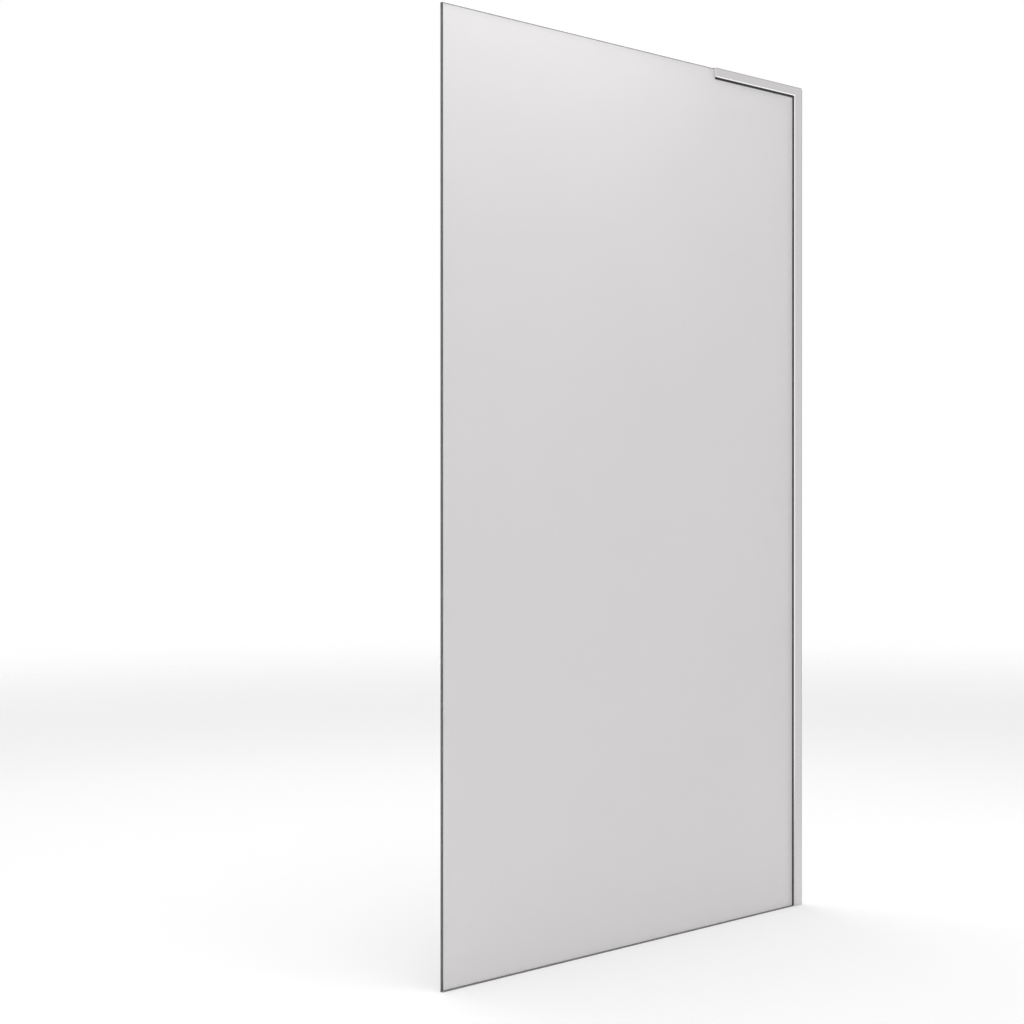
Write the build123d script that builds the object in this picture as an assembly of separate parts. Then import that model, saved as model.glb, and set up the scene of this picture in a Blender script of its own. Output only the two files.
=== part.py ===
from build123d import *
import os

# A fixed walk-in shower screen: a satin glass panel held at the wall by an L-shaped slim frame.
# X runs along the glass: the wall face is X = 0 and the free edge is at negative X.
# Y runs across the glass: its middle is Y = 0 and the shower side is at positive Y.
# Z runs up from the floor. All sizes are in millimetres.

# The screen as it is set
screen_height = 2000.0  # floor to the top of the frame
screen_width = 1196.0  # wall to the free edge of the glass
travel_in = 4.0  # the upright stands this far off the wall and can close on it
travel_out = 4.0  # how far the screen can still be drawn away from the wall

# Glass
glass_thickness = 8.0
glass_arris = 1.2  # the polished bevel along each edge
edge_packing = 1.0  # glass edge to the web of the upright
top_packing = 0.6  # glass edge to the top wall of the arm

# Upright and arm
frame_depth = 16.0  # across the glass
frame_wall = 2.0
frame_lip = 3.2  # how deep the thick lips beside the glass are
upright_face = 28.0
glass_pocket = 8.5  # how deep the upright's pocket takes the glass
arm_face = 22.0
arm_top_wall = 1.4
arm_reach = 335.0  # wall to the arm's free end
inner_round = 3.0  # rounding along the frame's edges beside the glass
outer_round = 0.9  # rounding along its other edges

# Gaskets between the frame and the glass
gasket_hold = 7.0  # what lies inside the frame
gasket_flap = 0.6  # thickness of what lies on the glass and passes the frame's lips
gasket_round = 0.4
front_gasket_show = 4.8  # what stands out of the frame, on the side away from the shower
rear_gasket_show = 0.5
gasket_clearance = 0.1  # gasket to the frame's lips

# Wall channel that the upright slides over
channel_wall = 1.8
slide_clearance = 0.2  # channel to upright, each side and at the end of the travel
channel_top_gap = 1.0  # over the channel's cap, under the arm
channel_cap_plate = 1.6
channel_cap_spigot = 8.0
channel_cap_key = 2.8
wall_holes = 4
wall_hole_radius = 2.25
wall_hole_inset = 130.0  # end of the channel to its outermost holes

# Clamps that lock the upright on the channel
clamps = 4
clamp_inset = 280.0  # floor and frame top to the outermost clamps
clamp_setback = 5.0  # edge of the upright to the clamp screws' axes
clamp_screw_radius = 2.0
clamp_screw_length = 8.2
clamp_screw_key = 2.5  # across the flats of the key recess
clamp_key_depth = 1.3
clamp_head_radius = 3.8
clamp_head_height = 2.2
clamp_head_round = 1.4
notch_clearance = 0.3  # clamp screw to the notch in the channel
clamp_washer_radius = 4.5
clamp_washer = 0.8
nut_plate_thickness = 3.0
nut_plate_height = 16.0
nut_plate_reach = 7.0  # from the screw's axis towards the glass
nut_plate_short = 2.6  # from the screw's axis towards the wall
nut_plate_clearance = 0.1  # before the screw pulls the plate against the channel
hole_clearance = 0.15  # screw to the hole it passes through
thread_clearance = 0.05  # screw to the thread it turns in

# Corner cleat that joins the arm to the upright
cleat_drop = 100.0  # frame top to the lower end of the cleat's bar
cleat_bar = 9.5
cleat_bar_top = 10.0  # frame top to the upper end of the bar
cleat_head = 2.3
cleat_reach = 75.0  # how far the cheeks run along the arm
cleat_clearance = 0.1
cleat_bar_clearance = 0.3  # bar to the inside of the wall channel
cleat_screws = 2
cleat_screw_radius = 1.5
cleat_screw_head = 2.8
cleat_screw_key = 2.0
cleat_screw_length = 7.5
cleat_screw_inset = 20.0
arm_screw_stop = 0.3  # between the arm screws' ends and the glass

# Edge packers, setting blocks and the seal under the glass
packer_length = 60.0
upright_packers = 3
arm_packers = 2
setting_blocks = 2
setting_block_length = 80.0
setting_block_width = 5.0
seal_width = 7.6
seal_height = 2.5  # the glass stands this high above the floor
seal_bevel = 0.5
seat_clearance = 0.15

# End caps
foot_cap_plate = 2.0
end_cap_plate = 2.0
end_cap_tongue = 12.0
cap_clearance = 0.1

# Places along X
upright_wall_side = -travel_in
upright_glass_side = upright_wall_side - upright_face
web_glass_side = upright_glass_side + glass_pocket
web_wall_side = web_glass_side + frame_wall
channel_end = web_wall_side + travel_in + slide_clearance
glass_held_edge = web_glass_side - edge_packing
glass_free_edge = -screen_width
arm_end = -arm_reach
behind_lips = upright_glass_side + frame_lip
clamp_x = upright_wall_side - clamp_setback
cleat_head_x = web_wall_side - cleat_head
cleat_tip_x = cleat_head_x - cleat_reach

# Places across Y, each the distance from the middle of the glass
glass_side = glass_thickness / 2
frame_side = frame_depth / 2
pocket_side = frame_side - frame_wall
lip_side = glass_side + gasket_flap + gasket_clearance
channel_side = pocket_side - slide_clearance
channel_inside = channel_side - channel_wall

# Places up Z
glass_bottom = seal_height
arm_ceiling = screen_height - arm_top_wall
glass_top = arm_ceiling - top_packing
arm_bottom = screen_height - arm_face
above_lips = arm_bottom + frame_lip
gasket_top = arm_bottom + gasket_hold
channel_top = arm_ceiling - channel_top_gap - channel_cap_plate
cleat_bar_end = screen_height - cleat_bar_top
cleat_bottom = screen_height - cleat_drop
cheek_bottom = gasket_top + cleat_clearance

# The upright and the arm meet on a mitre from the frame's inner corner to its outer corner
inner_corner = (upright_glass_side, 0, arm_bottom)
frame_mitre = Plane(origin=inner_corner, x_dir=(0, 1, 0), z_dir=(-arm_face, 0, upright_face))
gasket_mitre = Plane(origin=inner_corner, x_dir=(0, 1, 0), z_dir=(-1, 0, 1))


def block(x, y, z):
    """A rectangular solid between two places on each axis."""
    size = [abs(high - low) for low, high in (x, y, z)]
    middle = [(low + high) / 2 for low, high in (x, y, z)]
    return Pos(*middle) * Box(*size)


def both_sides(half):
    """The piece together with its mirror image across the middle of the glass."""
    return half + mirror(half, about=Plane.XZ)


def spread(first, last, count):
    """Evenly spaced places from the first to the last."""
    if count == 1:
        return [(first + last) / 2]
    return [first + (last - first) * i / (count - 1) for i in range(count)]


def middles(first, last, count):
    """The middles of equal stretches between two places."""
    stretch = (last - first) / count
    return [first + stretch * (i + 0.5) for i in range(count)]


def rod(radius, start, end):
    """A round bar from one point to another."""
    path = Vector(*end) - Vector(*start)
    return Plane(origin=start, z_dir=path) * Cylinder(
        radius, path.length, align=(Align.CENTER, Align.CENTER, Align.MIN)
    )


def hex_recess(across_flats, depth, point, inward):
    """The key recess sunk into a screw's head from the point on its top."""
    outline = RegularPolygon(across_flats / 2, 6, major_radius=False)
    return extrude(Plane(origin=point, z_dir=inward) * outline, amount=depth)


def sunk_bar(radius, length, point, inward):
    """A right-angled cone with its flat end at the point, and the bar that goes on from it."""
    axis = Plane(origin=point, z_dir=inward)
    start = (Align.CENTER, Align.CENTER, Align.MIN)
    cone = Cone(cleat_screw_head, radius, cleat_screw_head - radius, align=start)
    return axis * (cone + Cylinder(radius, length, align=start))


def cleat_screw(length, point, inward):
    """A countersunk screw whose flat head ends at the point and whose shank goes inward."""
    screw = sunk_bar(cleat_screw_radius, length, point, inward)
    depth = cleat_screw_head - cleat_screw_radius
    return screw - hex_recess(cleat_screw_key, depth, point, inward)


def cleat_screw_hole(point, inward):
    """The countersunk hole through a frame wall that such a screw sits in."""
    return sunk_bar(cleat_screw_radius + hole_clearance, frame_wall, point, inward)


def mitre_height(x):
    """How high the frame's mitre is at a place along X."""
    return arm_bottom + (x - upright_glass_side) * arm_face / upright_face


# Where the pieces that repeat stand
clamp_heights = spread(clamp_inset, screen_height - clamp_inset, clamps)
wall_hole_heights = spread(wall_hole_inset, screen_height - wall_hole_inset, wall_holes)
upright_screw_heights = spread(
    cleat_bottom + cleat_screw_inset, cheek_bottom - cleat_screw_inset, cleat_screws
)
arm_screw_places = spread(
    cleat_tip_x + cleat_screw_inset, upright_glass_side - cleat_screw_inset, cleat_screws
)
arm_screw_height = (cheek_bottom + glass_top) / 2
packer_heights = middles(glass_bottom, cleat_bottom, upright_packers)
arm_packer_places = middles(arm_end, upright_glass_side, arm_packers)
setting_places = middles(glass_free_edge, upright_glass_side, setting_blocks)


def wall_channel():
    """The U-shaped channel on the wall, open towards the glass, with a notch for each clamp."""
    body = block((channel_end, 0), (-channel_side, channel_side), (0, channel_top))
    body -= block(
        (channel_end, -channel_wall), (-channel_inside, channel_inside), (0, channel_top)
    )
    for z in wall_hole_heights:
        body -= rod(wall_hole_radius, (-channel_wall, 0, z), (0, 0, z))
    notch_half = clamp_screw_radius + notch_clearance
    notch_x = clamp_x + travel_in
    for z in clamp_heights:
        body -= rod(notch_half, (notch_x, channel_inside, z), (notch_x, channel_side, z))
        body -= block(
            (channel_end, notch_x),
            (channel_inside, channel_side),
            (z - notch_half, z + notch_half),
        )
    return body


def wall_channel_cap():
    """The moulded plug that closes the channel's upper end."""
    plate_top = channel_top + channel_cap_plate
    plate = block((channel_end, 0), (-channel_side, channel_side), (channel_top, plate_top))
    key = block(
        (-channel_wall - channel_cap_key, -channel_wall),
        (cap_clearance - channel_inside, channel_inside - cap_clearance),
        (channel_top - channel_cap_spigot, channel_top),
    )
    return plate + key


def upright_profile():
    """The H-shaped upright, with a pocket for the glass and one for the wall channel."""
    middle = (upright_glass_side + upright_wall_side) / 2
    section = Pos(middle, 0) * Rectangle(upright_face, frame_depth)
    section = fillet(section.vertices().sort_by(Axis.X)[:2], inner_round)
    section = fillet(section.vertices().sort_by(Axis.X)[-2:], outer_round)
    body = extrude(section, amount=screen_height - foot_cap_plate)
    body = Pos(0, 0, foot_cap_plate) * body
    pocket = (-pocket_side, pocket_side)
    full_height = (foot_cap_plate, screen_height)
    body -= block((upright_glass_side, web_glass_side), (-lip_side, lip_side), full_height)
    body -= block((behind_lips, web_glass_side), pocket, full_height)
    body -= block((web_wall_side, upright_wall_side), pocket, full_height)
    body = split(body, bisect_by=frame_mitre, keep=Keep.BOTTOM)
    clamp_hole = clamp_screw_radius + hole_clearance
    for z in clamp_heights:
        body -= rod(clamp_hole, (clamp_x, pocket_side, z), (clamp_x, frame_side, z))
    for z in upright_screw_heights:
        body -= cleat_screw_hole((web_glass_side, 0, z), (1, 0, 0))
    return body


def arm_section(x):
    """The outline of the arm and its end cap, seen along the arm, at a place along X."""
    outline = Pos(0, (arm_bottom + screen_height) / 2) * Rectangle(frame_depth, arm_face)
    outline = fillet(outline.vertices().sort_by(Axis.Y)[:2], inner_round)
    outline = fillet(outline.vertices().sort_by(Axis.Y)[-2:], outer_round)
    return Plane.YZ.offset(x) * outline


def arm_profile():
    """The U-shaped arm over the glass, open downwards, mitred into the upright."""
    start = arm_end + end_cap_plate
    body = extrude(arm_section(start), amount=upright_wall_side - start)
    full_length = (start, upright_wall_side)
    pocket = (-pocket_side, pocket_side)
    body -= block(full_length, (-lip_side, lip_side), (arm_bottom, arm_ceiling))
    body -= block(full_length, pocket, (above_lips, arm_ceiling))
    body -= block((behind_lips, upright_wall_side), pocket, (arm_bottom, arm_ceiling))
    body = split(body, bisect_by=frame_mitre, keep=Keep.TOP)
    for x in arm_screw_places:
        body -= cleat_screw_hole((x, frame_side, arm_screw_height), (0, -1, 0))
    return body


def corner_cleat():
    """The bar inside the upright and the two cheeks beside the glass, in one casting."""
    bar_side = channel_inside - cleat_bar_clearance
    bar = block(
        (web_wall_side, web_wall_side + cleat_bar),
        (-bar_side, bar_side),
        (cleat_bottom, cleat_bar_end),
    )
    head_bottom = mitre_height(web_wall_side) + cleat_clearance
    outer = pocket_side - cleat_clearance
    inner = glass_side + cleat_clearance
    head = block((cleat_head_x, web_wall_side), (-outer, outer), (head_bottom, glass_top))
    cheek = block((cleat_tip_x, cleat_head_x), (inner, outer), (cheek_bottom, glass_top))
    for x in arm_screw_places:
        cheek -= rod(
            cleat_screw_radius + thread_clearance,
            (x, inner, arm_screw_height),
            (x, outer, arm_screw_height),
        )
    other_cheek = block((cleat_tip_x, cleat_head_x), (-outer, -inner), (cheek_bottom, glass_top))
    for z in upright_screw_heights:
        bar -= rod(
            cleat_screw_radius + thread_clearance,
            (web_wall_side, 0, z),
            (web_wall_side + cleat_bar, 0, z),
        )
    return bar + head + cheek + other_cheek


def upright_cleat_screws():
    """The sunk screws that hold the cleat's bar to the web of the upright."""
    return [
        cleat_screw(cleat_screw_length, (web_glass_side, 0, z), (1, 0, 0))
        for z in upright_screw_heights
    ]


def arm_cleat_screws():
    """The sunk screws through the shower side of the arm into the cleat."""
    length = frame_side - glass_side - arm_screw_stop
    return [
        cleat_screw(length, (x, frame_side, arm_screw_height), (0, -1, 0))
        for x in arm_screw_places
    ]


def glass_panel():
    """The satin pane with its polished, bevelled edges."""
    pane = block(
        (glass_free_edge, glass_held_edge),
        (-glass_side, glass_side),
        (glass_bottom, glass_top),
    )
    rims = pane.edges().filter_by(Axis.Y, reverse=True)
    return chamfer(rims, glass_arris)


def gasket_section(show):
    """A gasket strip's section: X into the frame from its face, Y out from the face of the glass."""
    body_start = frame_lip + gasket_clearance
    body = Pos((body_start + gasket_hold) / 2, (pocket_side - glass_side) / 2) * Rectangle(
        gasket_hold - body_start, pocket_side - glass_side
    )
    flap = Pos((body_start - show) / 2, gasket_flap / 2) * Rectangle(
        body_start + show, gasket_flap
    )
    tip = flap.vertices().sort_by(Axis.X)[:2].sort_by(Axis.Y)[-1]
    return body + fillet(tip, gasket_round)


def upright_gasket(show):
    """The gasket strip along the upright, on the side away from the shower."""
    start = (upright_glass_side, -glass_side, gasket_top)
    top = Plane(origin=start, x_dir=(1, 0, 0), z_dir=(0, 0, -1))
    strip = extrude(top * gasket_section(show), amount=gasket_top - glass_bottom)
    return split(strip, bisect_by=gasket_mitre, keep=Keep.BOTTOM)


def arm_gasket(show):
    """The gasket strip along the arm, on the side away from the shower."""
    start = arm_end + end_cap_plate
    end = Plane(origin=(start, -glass_side, arm_bottom), x_dir=(0, 0, 1), z_dir=(1, 0, 0))
    run = upright_glass_side + gasket_hold - start
    strip = extrude(end * gasket_section(show), amount=run)
    return split(strip, bisect_by=gasket_mitre, keep=Keep.TOP)


def upright_packer_set():
    """The pads between the edge of the glass and the web of the upright."""
    return [
        block(
            (glass_held_edge, web_glass_side),
            (glass_arris - glass_side, glass_side - glass_arris),
            (z - packer_length / 2, z + packer_length / 2),
        )
        for z in packer_heights
    ]


def arm_packer_set():
    """The pads between the top edge of the glass and the arm."""
    return [
        block(
            (x - packer_length / 2, x + packer_length / 2),
            (glass_arris - glass_side, glass_side - glass_arris),
            (glass_top, arm_ceiling),
        )
        for x in arm_packer_places
    ]


def setting_block_set():
    """The hard blocks that carry the weight of the glass on the floor."""
    side = setting_block_width / 2
    return [
        block(
            (x - setting_block_length / 2, x + setting_block_length / 2),
            (-side, side),
            (0, glass_bottom),
        )
        for x in setting_places
    ]


def bottom_seal():
    """The strip under the foot of the glass, with a window for each setting block."""
    section = Pos(0, seal_height / 2) * Rectangle(seal_width, seal_height)
    section = chamfer(section.vertices().sort_by(Axis.Y)[2:], seal_bevel)
    seal = extrude(
        Plane.YZ.offset(glass_free_edge) * section, amount=upright_glass_side - glass_free_edge
    )
    half_window = setting_block_length / 2 + seat_clearance
    side = setting_block_width / 2 + seat_clearance
    for x in setting_places:
        seal -= block((x - half_window, x + half_window), (-side, side), (0, seal_height))
    return seal


def upright_foot_cap():
    """The moulded foot under the upright, with a raised seat for the corner of the glass."""
    plate = block(
        (upright_glass_side, upright_wall_side), (-frame_side, frame_side), (0, foot_cap_plate)
    )
    plate -= block(
        (web_wall_side, upright_wall_side), (-pocket_side, pocket_side), (0, foot_cap_plate)
    )
    seat_side = pocket_side - cap_clearance
    seat = block(
        (behind_lips + cap_clearance, web_glass_side - cap_clearance),
        (-seat_side, seat_side),
        (foot_cap_plate, glass_bottom),
    )
    return plate + seat


def arm_end_cap():
    """The cap on the arm's free end, slotted over the glass, with a tongue beside each face."""
    stop = arm_end + end_cap_plate
    plate = extrude(arm_section(arm_end), amount=end_cap_plate)
    slot_side = glass_side + cap_clearance
    plate -= block(
        (arm_end, stop), (-slot_side, slot_side), (arm_bottom, glass_top + cap_clearance)
    )
    tongue = block(
        (stop, stop + end_cap_tongue),
        (slot_side, pocket_side - cap_clearance),
        (cheek_bottom, glass_top),
    )
    return plate + both_sides(tongue)


def clamp_screw_set():
    """Button-headed screws that go through the shower side of the upright."""
    seat = frame_side + clamp_washer
    screws = []
    for z in clamp_heights:
        head = rod(clamp_head_radius, (clamp_x, seat, z), (clamp_x, seat + clamp_head_height, z))
        crown = head.edges().sort_by(Axis.Y)[-1]
        head = fillet(crown, clamp_head_round)
        top = (clamp_x, seat + clamp_head_height, z)
        shank = rod(
            clamp_screw_radius, (clamp_x, seat, z), (clamp_x, seat - clamp_screw_length, z)
        )
        key = hex_recess(clamp_screw_key, clamp_key_depth, top, (0, -1, 0))
        screws.append(head + shank - key)
    return screws


def clamp_washer_set():
    """The plain washers under the clamp screws' heads."""
    hole = clamp_screw_radius + hole_clearance
    return [
        rod(clamp_washer_radius, (clamp_x, frame_side, z), (clamp_x, frame_side + clamp_washer, z))
        - rod(hole, (clamp_x, frame_side, z), (clamp_x, frame_side + clamp_washer, z))
        for z in clamp_heights
    ]


def nut_plate_set():
    """The threaded plates inside the channel that the clamp screws pull against it."""
    face = channel_inside - nut_plate_clearance
    back = face - nut_plate_thickness
    thread = clamp_screw_radius + thread_clearance
    return [
        block(
            (clamp_x - nut_plate_reach, clamp_x + nut_plate_short),
            (back, face),
            (z - nut_plate_height / 2, z + nut_plate_height / 2),
        )
        - rod(thread, (clamp_x, back, z), (clamp_x, face, z))
        for z in clamp_heights
    ]


# Each node's name and the solids it holds
nodes = {
    "wall_channel": [wall_channel()],
    "wall_channel_cap": [wall_channel_cap()],
    "upright_profile": [upright_profile()],
    "arm_profile": [arm_profile()],
    "corner_cleat": [corner_cleat()],
    "upright_cleat_screws": upright_cleat_screws(),
    "arm_cleat_screws": arm_cleat_screws(),
    "glass_panel": [glass_panel()],
    "upright_gasket_front": [upright_gasket(front_gasket_show)],
    "upright_gasket_rear": [mirror(upright_gasket(rear_gasket_show), about=Plane.XZ)],
    "arm_gasket_front": [arm_gasket(front_gasket_show)],
    "arm_gasket_rear": [mirror(arm_gasket(rear_gasket_show), about=Plane.XZ)],
    "upright_packers": upright_packer_set(),
    "arm_packers": arm_packer_set(),
    "setting_blocks": setting_block_set(),
    "bottom_seal": [bottom_seal()],
    "upright_foot_cap": [upright_foot_cap()],
    "arm_end_cap": [arm_end_cap()],
    "clamp_screws": clamp_screw_set(),
    "clamp_washers": clamp_washer_set(),
    "nut_plates": nut_plate_set(),
}

os.makedirs("parts", exist_ok=True)
for name, pieces in nodes.items():
    solids = [solid for piece in pieces for solid in piece.solids()]
    shape = solids[0] if len(solids) == 1 else Compound(children=solids)
    export_step(shape, f"parts/{name}.step")
    print(name, len(solids), "solid" if len(solids) == 1 else "solids")
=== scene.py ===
# %% [markdown]
# A walk-in shower screen, dressed for its portrait
#
# The object is one pane of satin glass, two metres high, held at the wall by a slim bright frame in the
# shape of an upside-down L. The upright runs the full height and a short arm reaches out over the top of the
# glass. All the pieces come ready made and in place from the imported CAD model. This script gives each of
# them its finish, stands them on a plain floor in soft light and looks at them through one camera.

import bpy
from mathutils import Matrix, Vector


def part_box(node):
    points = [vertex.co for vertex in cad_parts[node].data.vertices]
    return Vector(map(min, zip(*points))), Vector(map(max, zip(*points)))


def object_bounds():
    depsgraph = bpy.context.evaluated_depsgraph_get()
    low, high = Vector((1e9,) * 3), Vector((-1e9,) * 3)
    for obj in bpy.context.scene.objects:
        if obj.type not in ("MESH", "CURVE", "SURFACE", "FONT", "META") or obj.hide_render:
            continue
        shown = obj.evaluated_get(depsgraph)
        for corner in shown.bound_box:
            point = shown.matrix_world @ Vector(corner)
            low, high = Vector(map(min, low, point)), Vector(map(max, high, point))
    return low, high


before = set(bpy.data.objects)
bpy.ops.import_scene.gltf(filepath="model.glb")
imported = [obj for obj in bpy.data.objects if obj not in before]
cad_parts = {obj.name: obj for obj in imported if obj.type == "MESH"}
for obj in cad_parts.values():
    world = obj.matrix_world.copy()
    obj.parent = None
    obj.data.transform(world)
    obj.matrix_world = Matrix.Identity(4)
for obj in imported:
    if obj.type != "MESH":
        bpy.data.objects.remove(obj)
cad_low, cad_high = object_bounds()
print("nodes:", len(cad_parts), "size in mm:", [round(v * 1000, 1) for v in cad_high - cad_low])

# %% Other modules, and one unit
import math

import bpy

mm = 0.001  # the scene is in metres, and the pieces are easier to think of in millimetres
print("a millimetre is", mm, "of a scene unit")


# %% [markdown]
# Colours are written the way a paint chart or a screen shows them, as sRGB hex values. The shaders work with
# light, so one function turns such a value to linear.


# %% A colour for the shaders
def linear(hex_colour):
    """The linear RGBA value of an sRGB colour such as '#d8d8d6'."""
    channels = [int(hex_colour[i : i + 2], 16) / 255 for i in (1, 3, 5)]
    curved = [c / 12.92 if c <= 0.04045 else ((c + 0.055) / 1.055) ** 2.4 for c in channels]
    return (*curved, 1.0)


print("mid grey #bcbcbc is", round(linear("#bcbcbc")[0], 3), "in linear light")


# %% [markdown]
# A material is a small graph of nodes. One function adds a node, sets what it is told to and links what it
# is given, so that each material below reads as a list of what it is made of. Another starts a material with
# the one shader that all of these finishes share. A third mixes two colours, because every finish here
# wanders a little between two near ones.


# %% Three helpers for materials
def add(tree, kind, settings=None, **inputs):
    """Adds a node. An input goes by its name, with _ for a space, or by its number after a _.

    What it gets is a value, or a socket to link."""
    made = tree.nodes.new(kind)
    for name, value in (settings or {}).items():
        setattr(made, name, value)
    for name, value in inputs.items():
        socket = made.inputs[int(name[1:])] if name[1:].isdigit() else made.inputs[name.replace("_", " ")]
        if isinstance(value, bpy.types.NodeSocket):
            tree.links.new(value, socket)
        else:
            socket.default_value = value
    return made


def new_finish(name, **inputs):
    """A material with a Principled shader that has these values, and its tree and shader."""
    material = bpy.data.materials.new(name)
    material.use_nodes = True
    tree = material.node_tree
    tree.nodes.clear()
    shader = add(tree, "ShaderNodeBsdfPrincipled", **inputs)
    add(tree, "ShaderNodeOutputMaterial", Surface=shader.outputs[0])
    return material, tree, shader


def mix(tree, share, first, second):
    """The colour between two others, each an sRGB hex value or a socket."""
    first, second = (linear(c) if isinstance(c, str) else c for c in (first, second))
    mixed = add(tree, "ShaderNodeMix", {"data_type": "RGBA"}, _0=share, _6=first, _7=second)
    return mixed.outputs[2]


# %% [markdown]
# The glass is the whole look of this object. On the real pane acid has etched the face on the dry side, so
# light goes through but nothing behind can be made out. The face on the shower side is smooth, which keeps
# it easy to clean, and the edges are ground and polished, so they look darker. That darker look is painted
# shade: a dark grey on the edges that also runs a little way down both faces below the top. A volume or a
# mesh of tiny bumps could scatter the light. Half diffuse and half rough transmission does the same from the
# shader and keeps the pane simple, and two masks that know how far a point is from the middle of the pane
# tell its faces and its edges apart.

# %% Sizes of the pane and of its finish
pane_low, pane_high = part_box("glass_panel")
pane_half = (pane_high.y - pane_low.y) / 2
skin = 0.05 * mm  # a point this near to a face is on it
top_shade_reach = 1.9 * mm  # the painted shade of the edges reaches this far down both faces below the top of the pane
etch_grain = 0.6 * mm  # real etching is far finer; this is the least that shows
cloud = 455 * mm  # the pane is a shade lighter here and darker there, in patches of about this size
etched_rough, polished_rough = 0.6, 0.06
print("pane thickness in mm:", round(2 * pane_half / mm, 2))


# %% Satin glass
def satin_glass():
    """Soda-lime safety glass: IOR 1.52, etched on one face, smooth on the other, polished edges painted dark
    as shade.
    """
    material, tree, shader = new_finish("etched_satin_glass", Transmission_Weight=0.5, IOR=1.52)
    place = add(tree, "ShaderNodeTexCoord").outputs["Object"]
    along = add(tree, "ShaderNodeSeparateXYZ", Vector=place)
    across, height = along.outputs["Y"], along.outputs["Z"]
    depth = add(tree, "ShaderNodeMath", {"operation": "ABSOLUTE"}, _0=across).outputs[0]
    # painted shade: the edge faces and a strip below the top get the dark grey mixed in below
    edge = add(tree, "ShaderNodeMath", {"operation": "LESS_THAN"}, _0=depth, _1=pane_half - skin)
    below_top = add(tree, "ShaderNodeMath", {"operation": "GREATER_THAN"}, _0=height, _1=pane_high.z - top_shade_reach)
    painted_shade = add(tree, "ShaderNodeMath", {"operation": "MAXIMUM"}, _0=edge.outputs[0], _1=below_top.outputs[0])
    patches = add(tree, "ShaderNodeTexNoise", Vector=place, Scale=1 / cloud, Detail=2.0, Roughness=0.5)
    tint = mix(tree, patches.outputs["Fac"], "#ebe9ea", "#eeeced")
    colour = mix(tree, painted_shade.outputs[0], tint, "#545655")
    etched = add(tree, "ShaderNodeMath", {"operation": "LESS_THAN"}, _0=across, _1=skin - pane_half)
    rough = add(tree, "ShaderNodeMix", _0=etched.outputs[0], _2=polished_rough, _3=etched_rough)
    grain = add(tree, "ShaderNodeTexNoise", Vector=place, Scale=1 / etch_grain, Detail=3.0)
    bump = add(
        tree, "ShaderNodeBump", Height=grain.outputs["Fac"], Strength=0.03, Distance=0.02 * mm
    )
    tree.links.new(colour, shader.inputs["Base Color"])
    tree.links.new(rough.outputs[0], shader.inputs["Roughness"])
    tree.links.new(bump.outputs[0], shader.inputs["Normal"])
    return material


glass = satin_glass()
print("made:", glass.name)

# %% [markdown]
# The frame is extruded aluminium, polished and then anodised, so it is bright but not a mirror. What
# gives it away as an extrusion is that every faint mark runs along its length. On the arm a painted
# highlight runs along the rounded edge over the glass, and a painted shade, which stands in for a darker
# reflection, runs along its upper edge. Cutting the arm into strips would do that too. Mixing another colour
# in below one height and above another leaves the arm in one piece.

# %% Bright aluminium
draw_line = 0.5 * mm  # spacing of the faint lines, wider than the real ones so that they show
line_length = 400 * draw_line


def bright_aluminium(name, colour, dull, long_axis, painted_light=()):
    """Anodised aluminium with faint lines along its length. Painted light is (test, height, colour): a
    painted highlight or painted shade mixed in past a height.
    """
    material, tree, shader = new_finish(name, Metallic=1.0)
    place = add(tree, "ShaderNodeTexCoord").outputs["Object"]
    stretch = [1 / draw_line] * 3
    stretch["XYZ".index(long_axis)] = 1 / line_length
    drawn = add(tree, "ShaderNodeMapping", Vector=place, Scale=stretch)
    lines = add(tree, "ShaderNodeTexNoise", Vector=drawn.outputs[0], Scale=1.0, Detail=3.0).outputs["Fac"]
    tone = mix(tree, lines, *colour)
    for test, level, painted_colour in painted_light:
        height = add(tree, "ShaderNodeSeparateXYZ", Vector=place).outputs["Z"]
        past = add(tree, "ShaderNodeMath", {"operation": test}, _0=height, _1=level)
        tone = mix(tree, past.outputs[0], tone, painted_colour)
    rough = add(tree, "ShaderNodeMapRange", Value=lines, To_Min=dull - 0.03, To_Max=dull + 0.03)
    bump = add(tree, "ShaderNodeBump", Height=lines, Strength=0.05, Distance=0.01 * mm)
    tree.links.new(tone, shader.inputs["Base Color"])
    tree.links.new(rough.outputs[0], shader.inputs["Roughness"])
    tree.links.new(bump.outputs[0], shader.inputs["Normal"])
    return material


# %% The three extrusions
arm_low, arm_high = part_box("arm_profile")
# painted light on the arm: a painted highlight in white below the first height, along the rounded edge over
# the glass, and a painted shade in grey above the second, for a darker reflection of the upper edge
highlight_below, shade_above = arm_low.z + 3.0 * mm, arm_high.z - 2.4 * mm
arm_painted_light = (("LESS_THAN", highlight_below, "#ffffff"), ("GREATER_THAN", shade_above, "#cdcbcb"))

# polished and anodised: bright, with soft reflections
bright = ("#e4e1e2", "#ebe8e9")
upright_metal = bright_aluminium("bright_anodised_aluminium", bright, 0.16, "Z")
arm_metal = bright_aluminium("bright_anodised_arm", bright, 0.16, "X", arm_painted_light)
# anodised as it left the die: greyer and duller, and made darker still as painted shade for the gap at the
# wall
channel_metal_and_shade = bright_aluminium("satin_anodised_channel", ("#a6a4a4", "#afadad"), 0.35, "Z")
print("arm face in mm:", round((arm_high.z - arm_low.z) / mm, 1))


# %% [markdown]
# The small pieces are rubber, soft PVC, moulded plastic and plain steel. Each has a base colour that
# wanders a little, a grain of a real size and a roughness of its own. Each could have a graph of its own,
# but one recipe serves them all, and what differs between them is then easy to see.


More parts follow.
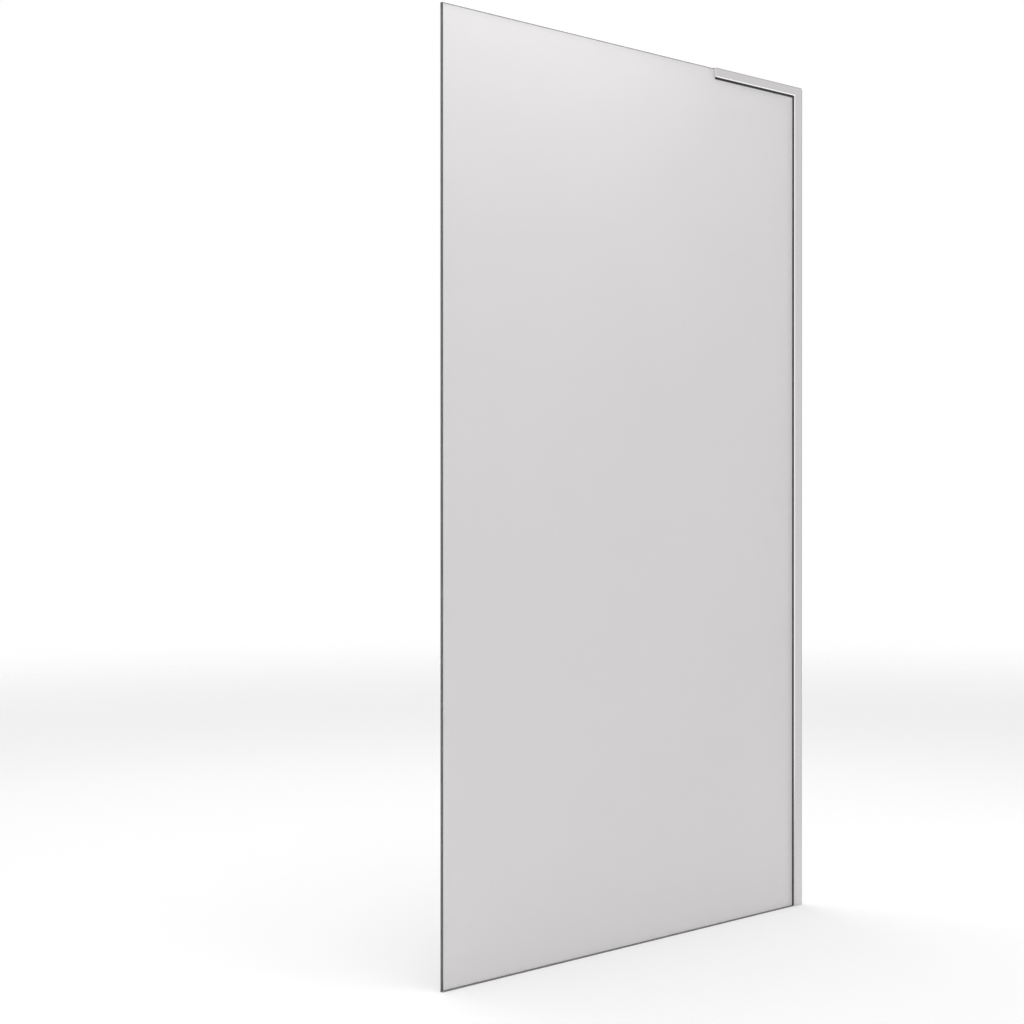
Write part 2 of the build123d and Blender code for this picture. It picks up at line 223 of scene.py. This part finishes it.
# %% Rubber, plastic and steel
def moulded(name, colour, grain, dull, depth, **inputs):
    """A finish with a fine grain: two near colours, a grain size, a roughness and a bump depth."""
    material, tree, shader = new_finish(name, **inputs)
    place = add(tree, "ShaderNodeTexCoord").outputs["Object"]
    speck = add(tree, "ShaderNodeTexNoise", Vector=place, Scale=1 / grain, Detail=4.0).outputs["Fac"]
    rough = add(tree, "ShaderNodeMapRange", Value=speck, To_Min=dull - 0.05, To_Max=dull + 0.05)
    bump = add(tree, "ShaderNodeBump", Height=speck, Strength=0.3, Distance=depth)
    tree.links.new(mix(tree, speck, *colour), shader.inputs["Base Color"])
    tree.links.new(rough.outputs[0], shader.inputs["Roughness"])
    tree.links.new(bump.outputs[0], shader.inputs["Normal"])
    return material


# %% The materials of the small pieces
# extruded EPDM: nearly black and matt
rubber = moulded("black_epdm_rubber", ("#1b1a1a", "#262525"), 0.4 * mm, 0.6, 0.02 * mm, IOR=1.52)
# extruded silicone: pale and milky, with a soft shine
silicone = moulded(
    "milky_silicone", ("#c9c8c8", "#d3d2d2"), 0.6 * mm, 0.4, 0.01 * mm, IOR=1.41
)
# extruded soft PVC: a mid grey band with a waxy shine
soft_pvc = moulded("grey_soft_pvc", ("#767575", "#807f7f"), 0.8 * mm, 0.4, 0.02 * mm, IOR=1.53)
# moulded ABS under silver lacquer: close to the metal beside it, with fine flakes
lacquer = moulded(
    "silver_lacquered_abs", ("#cfcdcd", "#d8d6d6"), 0.25 * mm, 0.35, 0.005 * mm, Metallic=0.2, IOR=1.53
)
# moulded nylon: dark and dull
nylon = moulded("black_moulded_nylon", ("#232324", "#2c2c2d"), 0.5 * mm, 0.5, 0.02 * mm, IOR=1.53)
# turned stainless steel: a clean, slightly warm metal
steel = moulded("stainless_steel", ("#c9c8c5", "#d6d5d2"), 0.3 * mm, 0.28, 0.005 * mm, Metallic=1.0)
# cast zinc: a darker, rougher metal with the skin of its mould
zinc = moulded("cast_zinc", ("#8f9193", "#a4a6a8"), 0.5 * mm, 0.45, 0.03 * mm, Metallic=1.0)
print("materials so far:", len(bpy.data.materials))

# %% [markdown]
# Every node of the model gets one finish, also those inside that only a cut or an opened screen would show.
# A list by name is the plainest way to say which, and the script prints what it left bare.

# %% The finish of each piece
finishes = {
    "glass_panel": glass,
    "upright_profile": upright_metal,
    "arm_profile": arm_metal,
    "wall_channel": channel_metal_and_shade,
    "wall_channel_cap": lacquer,
    "upright_foot_cap": lacquer,
    "arm_end_cap": lacquer,
    "upright_gasket_front": rubber,
    "upright_gasket_rear": silicone,
    "arm_gasket_front": rubber,
    "arm_gasket_rear": silicone,
    "bottom_seal": soft_pvc,
    "upright_packers": nylon,
    "arm_packers": nylon,
    "setting_blocks": nylon,
    "clamp_screws": steel,
    "clamp_washers": steel,
    "nut_plates": steel,
    "upright_cleat_screws": steel,
    "arm_cleat_screws": steel,
    "corner_cleat": zinc,
}
for node, finish in finishes.items():
    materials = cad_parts[node].data.materials
    materials.clear()
    materials.append(finish)
print("finished nodes:", len(finishes), "left bare:", sorted(set(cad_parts) - set(finishes)))

# %% [markdown]
# The stage is a plain pale floor. What the camera sees of it, straight or through the glass, is nearly
# white. What the metal mirrors of it is a shade darker, so that the foot of the frame isn't lost in it.
# Paint that knows which kind of ray has met it does this without a second floor.

# %% Floor
floor_size = 60.0
bpy.ops.mesh.primitive_plane_add(size=floor_size, location=(0, 0, 0))
floor = bpy.context.object
floor.name = "studio_floor"
floor_paint, floor_tree, floor_shader = new_finish("pale_floor", Roughness=1.0, IOR=1.0)
floor.data.materials.append(floor_paint)

ray = add(floor_tree, "ShaderNodeLightPath").outputs
mirrored = ray["Is Glossy Ray"]
viewed = add(
    floor_tree,
    "ShaderNodeMath",
    {"operation": "MAXIMUM"},
    _0=ray["Is Camera Ray"],
    _1=ray["Is Transmission Ray"],
).outputs[0]
paint = mix(floor_tree, viewed, mix(floor_tree, mirrored, "#f8f8f8", "#dedede"), "#fbfbfb")
floor_tree.links.new(paint, floor_shader.inputs["Base Color"])
print("floor:", floor_size, "m across")

# %% [markdown]
# A floor that simply ended would draw a horizon across the picture. It could be bent up into a wall, but
# other views would see the bend. Here it thins out with distance instead, until only the white world is
# left. In the metal it thins out at a third of the distance, and where it lights the object it is whole.

# %% A floor that thins out
whole, gone = 3.0, 9.0  # the floor is whole as far as the first distance and gone at the second
nearer = 3.0  # how much sooner it goes in the metal
spot = add(floor_tree, "ShaderNodeTexCoord").outputs["Object"]
reach = add(floor_tree, "ShaderNodeVectorMath", {"operation": "LENGTH"}, _0=spot).outputs["Value"]
start = add(floor_tree, "ShaderNodeMix", _0=mirrored, _2=whole, _3=whole / nearer).outputs[0]
end = add(floor_tree, "ShaderNodeMix", _0=mirrored, _2=gone, _3=gone / nearer).outputs[0]
smooth = {"interpolation_type": "SMOOTHSTEP"}
thin = add(floor_tree, "ShaderNodeMapRange", smooth, Value=reach, From_Min=start, From_Max=end).outputs[0]
shown = add(floor_tree, "ShaderNodeMath", {"operation": "MAXIMUM"}, _0=viewed, _1=mirrored).outputs[0]
faded = add(floor_tree, "ShaderNodeMath", {"operation": "MULTIPLY"}, _0=thin, _1=shown).outputs[0]
nothing = add(floor_tree, "ShaderNodeBsdfTransparent").outputs[0]
surface = add(floor_tree, "ShaderNodeMixShader", _0=faded, _1=floor_shader.outputs[0], _2=nothing)
floor_tree.links.new(surface.outputs[0], floor_tree.nodes["Material Output"].inputs["Surface"])
print("floor whole to", whole, "m and gone at", gone, "m")

# %% [markdown]
# The world is even and white. Where a ray has come through the glass it meets a studio that is a little
# grey, with a lighter band high up, which gives satin glass its slow gradient from top to bottom. Where it
# has come off the metal the studio is white but for overhead and the side the flat faces look at, so that
# the rounded edges stand out as bright lines. Panels round the object could do the same, but each
# would show in one view or another.

# %% World
world = bpy.data.worlds.new("soft_studio")
bpy.context.scene.world = world
world.use_nodes = True
sky = world.node_tree
sky.nodes.clear()


def ramp(value, start, end, low, high):
    """A smooth step from one level to another while the value goes from start to end."""
    step = add(
        sky,
        "ShaderNodeMapRange",
        smooth,
        Value=value,
        From_Min=start,
        From_Max=end,
        To_Min=low,
        To_Max=high,
    )
    return step.outputs[0]


def choose(test, otherwise, then):
    """One of two levels, by a test that is zero or one."""
    return add(sky, "ShaderNodeMix", _0=test, _2=otherwise, _3=then).outputs[0]


# %% How bright the world is for each kind of ray
heading = add(sky, "ShaderNodeTexCoord").outputs["Generated"]
up = add(sky, "ShaderNodeSeparateXYZ", Vector=heading).outputs["Z"]
face_side = (0.80, -0.48, 0.37)  # where the flat faces of the frame send the camera's rays
toward = add(sky, "ShaderNodeVectorMath", {"operation": "DOT_PRODUCT"}, _0=heading, _1=face_side)
around = ramp(toward.outputs["Value"], 0.66, 0.82, 1.1, 0.75)
overhead = ramp(up, 0.25, 0.6, 1.0, 0.6)
off_metal = add(sky, "ShaderNodeMath", {"operation": "MULTIPLY"}, _0=around, _1=overhead).outputs[0]
through_glass = ramp(up, 0.1, 0.5, 0.84, 1.05)
on_surfaces, straight = 0.8, 1.0  # at a strength of 1 the world is white

rays = add(sky, "ShaderNodeLightPath").outputs
strength = choose(rays["Is Camera Ray"], on_surfaces, straight)
strength = choose(rays["Is Glossy Ray"], strength, off_metal)
strength = choose(rays["Is Transmission Ray"], strength, through_glass)
air = add(sky, "ShaderNodeBackground", Color=(1.0, 1.0, 1.0, 1.0), Strength=strength)
add(sky, "ShaderNodeOutputWorld", Surface=air.outputs[0])
print("world:", world.name, "nodes:", len(sky.nodes))


# %% [markdown]
# Two wide softboxes hang overhead. The key is on the side the camera stands on, and the fill is on the
# shower side, so that a view from behind is lit as kindly. A narrow strip close to the top of the pane
# washes down its dry side, which gives the glass its lighter upper end. The camera sees none of the three,
# not even through the glass.


# %% Softboxes
def softbox(name, place, target, size, watts):
    """A rectangular area lamp that faces its target."""
    lamp = bpy.data.lights.new(name, "AREA")
    lamp.shape = "RECTANGLE"
    lamp.size, lamp.size_y = size
    lamp.energy = watts
    holder = bpy.data.objects.new(name, lamp)
    bpy.context.scene.collection.objects.link(holder)
    holder.location = place
    aim = [t - p for t, p in zip(target, place)]
    flat = math.hypot(aim[0], aim[1])
    holder.rotation_euler = (math.atan2(flat, -aim[2]), 0, math.atan2(-aim[0], aim[1]))
    holder.visible_camera = False
    holder.visible_transmission = False
    print("lamp:", name, size, "m", watts, "W")
    return holder


top = cad_high.z
middle = ((cad_low.x + cad_high.x) / 2, 0, top / 2)
softbox("key_softbox", (-0.9, -1.2, 4.6), middle, (3.0, 3.0), 45)
softbox("fill_softbox", (-0.3, 1.6, 4.2), middle, (2.6, 2.6), 30)
strip_x = -1.02  # the strip's middle lies towards the free edge
strip = softbox("top_strip", (strip_x, -0.4, top + 0.3), (strip_x, 0, top - 0.1), (1.15, 0.08), 2.35)
strip.visible_glossy = False

# %% [markdown]
# The camera stands where the photograph was taken from: a metre up and a little under four metres from the
# near edge of the glass, with a long lens. It looks a fifth of a degree below level, so the upright edges
# stay very nearly upright, and a small shift lowers the picture to take in the foot of the glass.

# %% Camera
eye = (-3.8363, -2.8655, 1.0029)
heading_angle = 44.754  # degrees from straight at the dry side, towards the wall
tilt = 0.188  # degrees below level
lens = 67.832
frame_drop = 9.99 / 1024  # share of the picture's width
portrait = bpy.data.cameras.new("portrait")
portrait.lens = lens
portrait.shift_y = -frame_drop
camera = bpy.data.objects.new("portrait", portrait)
bpy.context.scene.collection.objects.link(camera)
camera.location = eye
camera.rotation_euler = (math.radians(90 - tilt), 0, -math.radians(heading_angle))
bpy.context.scene.camera = camera
bpy.context.scene.view_settings.view_transform = "Standard"
print("camera to the free edge in m:", round(math.dist(eye[:2], (cad_low.x, 0)), 2))
